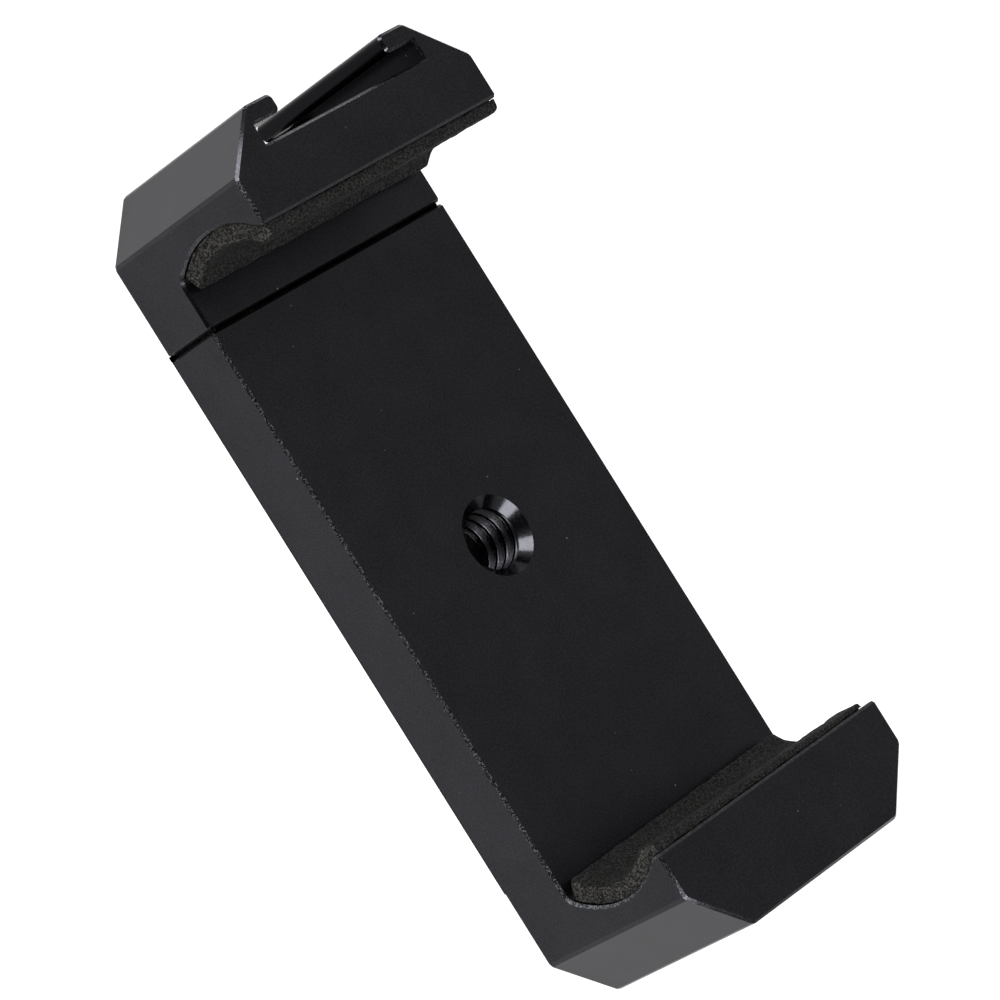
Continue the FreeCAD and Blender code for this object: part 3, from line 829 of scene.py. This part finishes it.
def rounded_block(size: tuple[float, float, float], radius: float,
                  cells: tuple[int, int, int]) -> tuple[np.ndarray, list]:
    """Makes the skin of a block from 0 to its size with rounded edges.

    Six grids cover its faces. Each point is then drawn to the nearest point of a block that is smaller by the
    radius all round, plus the radius times the unit way from there to it.

    Args:
        size: The block's three sides in mm.
        radius: Rounding in mm.
        cells: Number of grid cells along each side.

    Returns:
        The points and the quads' point numbers.
    """
    points, faces, count = [], [], 0
    sides = np.array(size)
    lines = [spaced(sides[axis], radius, cells[axis]) for axis in range(3)]
    for axis in range(3):
        first, second = [other for other in range(3) if other != axis]
        u, v = np.meshgrid(lines[first], lines[second], indexing="ij")
        for level in (0.0, sides[axis]):
            face = np.empty(u.shape + (3,))
            face[..., first], face[..., second], face[..., axis] = u, v, level
            points.append(face.reshape(-1, 3))
            faces.append(strip_faces(*u.shape) + count)
            count += u.size
    spots = np.concatenate(points)
    inner = np.clip(spots, radius, sides - radius)
    way = spots - inner
    away = np.linalg.norm(way, axis=1, keepdims=True)
    return inner + radius * way / np.maximum(away, 1e-9), np.concatenate(faces).tolist()


def spaced(side: float, radius: float, cells: int) -> np.ndarray:
    """Places of grid lines along a side: evenly between the rounded ends, with four more in each rounding.

    In a rounding the lines lie at radius times 1 - tan of evenly spaced angles, so that they land evenly
    on the arc.

    Args:
        side: The side's length.
        radius: Rounding at both ends.
        cells: Number of lines between the roundings.

    Returns:
        The lines' places.
    """
    curve = radius * (1 - np.tan(np.linspace(math.pi / 4, 0, 5)))
    inside = np.linspace(radius, side - radius, cells)
    return np.concatenate([curve[:-1], inside, side - curve[:-1][::-1]])


@dataclass
class GuideSet:
    """What carries the sliding jaw on one side: rod, bush, spring, washer and screws, with sizes in mm."""

    side: Side
    spacing: float = 17.0
    height: float = 3.05
    spring_start: float = -25.8
    spring_end: float = 20.7
    coil_radius: float = 1.6
    wire_radius: float = 0.2
    turns: float = 38.0
    closed_turns: float = 1.2  # at each end
    closed_pace: float = 2.06  # of a closed turn, in wire radii
    turn_points: int = 22  # of the wire's middle line
    ring_points: int = 8  # of the wire's section
    travel: float = 28.0

    def build(self) -> list[bpy.types.Object]:
        """Dresses the CAD pieces and winds the spring.

        Returns:
            The six pieces.
        """
        name = self.side.name.lower()
        finishes = {
            f"guide_rod_{name}": ROD_STEEL,
            f"guide_bush_{name}": BRONZE,
            f"spring_washer_{name}": ZINC,
            f"rod_end_screw_{name}": OXIDE,
            f"grub_screw_{name}": OXIDE,
        }
        dressed = [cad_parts[node] for node in finishes]
        for piece, finish in zip(dressed, finishes.values()):
            dress(piece, finish)
        return dressed + [self.wind_spring(name)]

    def wind_spring(self, name: str) -> bpy.types.Object:
        """Winds the return spring with closed ends.

        The wire's middle line is a helix about the rod whose pace along X is one wire thickness a turn over
        the end turns and even between them. Its round section is swept along in the plane of the outward
        way and the way across the wire.

        Args:
            name: The side's name.

        Returns:
            The spring.
        """
        steps, around = int(self.turns * self.turn_points), self.ring_points
        share = np.linspace(0, 1, steps)
        angle = share * self.turns * math.tau
        open_part = np.clip(np.minimum(share, 1 - share) * self.turns - self.closed_turns, 0, 1)
        pace = self.closed_pace * self.wire_radius * self.turns / (steps - 1)
        free = self.spring_end - self.spring_start - 2 * self.wire_radius
        spare = free - pace * (steps - 1)
        run = np.cumsum(pace + spare * open_part / open_part[1:].sum())
        x = self.spring_start + self.wire_radius + run - run[0]
        middle = np.stack([x, self.coil_radius * np.cos(angle), self.coil_radius * np.sin(angle)], axis=-1)
        along = np.gradient(middle, axis=0)
        along /= np.linalg.norm(along, axis=1, keepdims=True)
        outward = np.stack([np.zeros(steps), np.cos(angle), np.sin(angle)], axis=-1)
        across = np.cross(along, outward)
        turn = np.linspace(0, math.tau, around, endpoint=False)
        ring = np.cos(turn)[None, :, None] * outward[:, None] + np.sin(turn)[None, :, None] * across[:, None]
        points = (middle[:, None] + self.wire_radius * ring).reshape(-1, 3)
        rod_y = self.side.value * self.spacing / 2
        points += np.array([0, rod_y, self.height])
        faces = strip_faces(steps, around, close=True).tolist()
        faces += [list(range(around)), list(range((steps - 1) * around, steps * around))]
        piece = new_piece(f"return_spring_{name}_coils", points, faces, SPRING_WIRE)
        smooth(piece.data, 60)
        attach(piece, "clamp")
        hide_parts(f"return_spring_{name}")
        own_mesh(piece)
        return piece


@dataclass(frozen=True)
class SoftBox:
    """Square soft box that faces the clamp, with its place and size in metres."""

    name: str
    place: tuple[float, float, float]
    size: float
    glow: float

    def hang(self) -> None:
        """Makes the lamp, whose power is its glow times pi times its area."""
        lamp = bpy.data.lights.new(self.name, "AREA")
        lamp.shape = "SQUARE"
        lamp.size = self.size
        lamp.energy = self.glow * math.pi * self.size ** 2
        box = bpy.data.objects.new(self.name, lamp)
        box.location = self.place
        box.rotation_euler = Vector(self.place).to_track_quat("Z", "Y").to_euler()
        bpy.context.scene.collection.objects.link(box)


@dataclass(frozen=True)
class PaintedShadowCard:
    """Dark card of painted shadow, standing in for the clamp's contact shadow where the clamp would show or
    mirror too much white paper, with its reach in mm.
    """

    name: str
    along: tuple[float, float]
    across: tuple[float, float]  # its right and its left side
    height: tuple[float, float] = (-0.01, -0.01)  # at these two sides
    seen: bool = True  # a card that would lie in the open isn't, and only paints shade into what mirrors it
    # near-black colour that paints the clamp's contact shadow
    finish: StudioPaper = StudioPaper("painted_contact_shadow_card", "#101010", 0.0)

    def lay(self) -> None:
        """Makes the card of painted shadow as a flat grid of points."""
        x, share = np.meshgrid(np.linspace(*self.along, 9), np.linspace(0, 1, 5), indexing="xy")
        (right, left), (low, high) = self.across, self.height
        points = np.stack([x, right + (left - right) * share, low + (high - low) * share], axis=-1)
        faces = strip_faces(*x.shape).tolist()
        card = new_piece(f"painted_shadow_card_{self.name}", points.reshape(-1, 3), faces, self.finish)
        card.visible_camera = self.seen


@dataclass
class Studio:
    """White paper floor, dark cards of painted shadow, soft boxes and the camera, none of them part of the
    clamp.

    The photograph's white ground is clipped to plain white. The two glints in the tripod hole's countersink
    show a soft box on either side of the camera, and the dark gap between them and the dark broken edges
    that face the camera show that the room is dark behind it.
    """

    boxes: tuple[SoftBox, ...] = (
        SoftBox("wide_soft_box", (0.87, 0.40, 0.72), 0.6, 11.0),
        SoftBox("second_soft_box", (-0.66, 0.59, 0.78), 0.58, 11.0),
    )
    paper: StudioPaper = StudioPaper("white_backlit_studio_paper", "#808080", 1.0)
    # cards of painted shadow where the clamp's contact shadow would fall in its gaps and under its slot
    shadow_cards: tuple[PaintedShadowCard, ...] = (
        PaintedShadowCard("under_the_plate", (-24.0, 24.9), (-13.8, 13.8)),
        PaintedShadowCard("in_the_seam_right", (24.9501, 25.1999), (-13.5, -13.5), (0.1, 5.75)),
        PaintedShadowCard("in_the_seam_left", (24.9501, 25.1999), (13.1, 13.1), (0.0, 5.75)),
        PaintedShadowCard("under_the_seam_left", (24.9, 25.3), (12.9, 13.85)),
        PaintedShadowCard("under_the_seam", (22.6, 26.4), (-19.0, 13.8), seen=False),
        PaintedShadowCard("under_the_rail", (35.5, 37.9), (-9.8, -6.3), seen=False),
    )
    floor_size: float = 3.0  # in metres
    floor_height: float = -0.02  # in mm
    lens: float = 195.917
    sensor: float = 36.0
    camera_place: tuple[float, float, float] = (3.8422, 283.0252, 327.3743)  # in mm
    camera_aim: tuple[float, float, float] = (2.2143, -7.1027, 0.5)
    camera_roll: float = -58.239  # in degrees
    sky: str = "#ffffff"
    sky_strength: float = 0.67
    dark_share: float = 0.15  # of the sky's strength, behind the camera
    dark_spread: tuple[float, float] = (32.0, 14.0)  # degrees from there where it starts and is full

    def build(self) -> None:
        """Sets up the floor, the cards of painted shadow, the light and the camera."""
        self.lay_floor()
        # painted shadow under and in the clamp's gaps
        for card in self.shadow_cards:
            card.lay()
        self.light()
        self.place_camera()

    def lay_floor(self) -> None:
        """Lays the paper just under the clamp's back face, as a flat grid of points."""
        line = np.linspace(-self.floor_size / 2, self.floor_size / 2, 9) / MM
        x, y = np.meshgrid(line, line, indexing="xy")
        points = np.stack([x, y, np.full_like(x, self.floor_height)], axis=-1).reshape(-1, 3)
        floor = new_piece("studio_floor", points, strip_faces(*x.shape).tolist(), self.paper)

    def light(self) -> None:
        """Hangs the soft boxes, fills the room with an even light and shows colours as a plain photo does."""
        world = bpy.data.worlds.new("studio_room")
        world.use_nodes = True
        tree = world.node_tree
        way = add_node(tree, "TexCoord").outputs["Generated"]
        sight = Vector(self.camera_place).normalized()
        facing = add_node(tree, "VectorMath", (way, sight), operation="DOT_PRODUCT").outputs["Value"]
        start, full = [math.cos(math.radians(degrees)) for degrees in self.dark_spread]
        strength = add_node(tree, "MapRange", (
            facing, start, full, self.sky_strength, self.sky_strength * self.dark_share))
        back = tree.nodes["Background"]
        back.inputs["Color"].default_value = linear(self.sky)
        tree.links.new(strength.outputs[0], back.inputs["Strength"])
        bpy.context.scene.world = world
        for box in self.boxes:
            box.hang()
        bpy.context.scene.view_settings.view_transform = "Standard"

    def place_camera(self) -> None:
        """Stands the camera where the photograph was taken from, rolled about its own line of sight.

        The way right is the line of sight crossed with Z, the way up is right crossed with the sight, and
        the roll turns the up way toward the right way.
        """
        place = np.array(self.camera_place) * MM
        sight = np.array(self.camera_aim) * MM - place
        sight /= np.linalg.norm(sight)
        level = np.cross(sight, [0, 0, 1])
        level /= np.linalg.norm(level)
        upright = np.cross(level, sight)
        roll = math.radians(self.camera_roll)
        up = math.cos(roll) * upright + math.sin(roll) * level
        right = np.cross(sight, up)
        lens = bpy.data.cameras.new("camera")
        lens.lens = self.lens
        lens.sensor_width = self.sensor
        camera = bpy.data.objects.new("camera", lens)
        turned = np.eye(4)
        turned[:3, 0], turned[:3, 1], turned[:3, 2], turned[:3, 3] = right, up, -sight, place
        camera.matrix_world = Matrix(turned.tolist())
        bpy.context.scene.collection.objects.link(camera)
        bpy.context.scene.camera = camera


def main() -> None:
    """Builds each sub-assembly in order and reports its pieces."""
    logging.basicConfig(level=logging.INFO, format="%(message)s")
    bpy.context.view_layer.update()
    Studio().build()
    pieces = [
        MachinedPiece("clamp_body", "clamp", Jaw.FIXED, BODY_WEAR, threaded=True).build(),
        MachinedPiece("sliding_jaw", "jaw", Jaw.SLIDING, JAW_WEAR).build(),
        FoamPad(Jaw.FIXED, "clamp", 0.9, 0.45, short=0.7, foot_near=0.4, foot_far=0.65, loose=0.0,
                seed=11).build(),
        FoamPad(Jaw.SLIDING, "jaw", 1.15, 0.95, short=-0.25, foot_near=0.3, foot_far=0.45, loose=0.6,
                seed=23).build(),
    ]
    for side in Side:
        pieces += GuideSet(side).build()
    for piece in pieces:
        LOG.info("%s: %d faces", piece.name, len(piece.data.polygons))


if __name__ == "__main__":
    main()
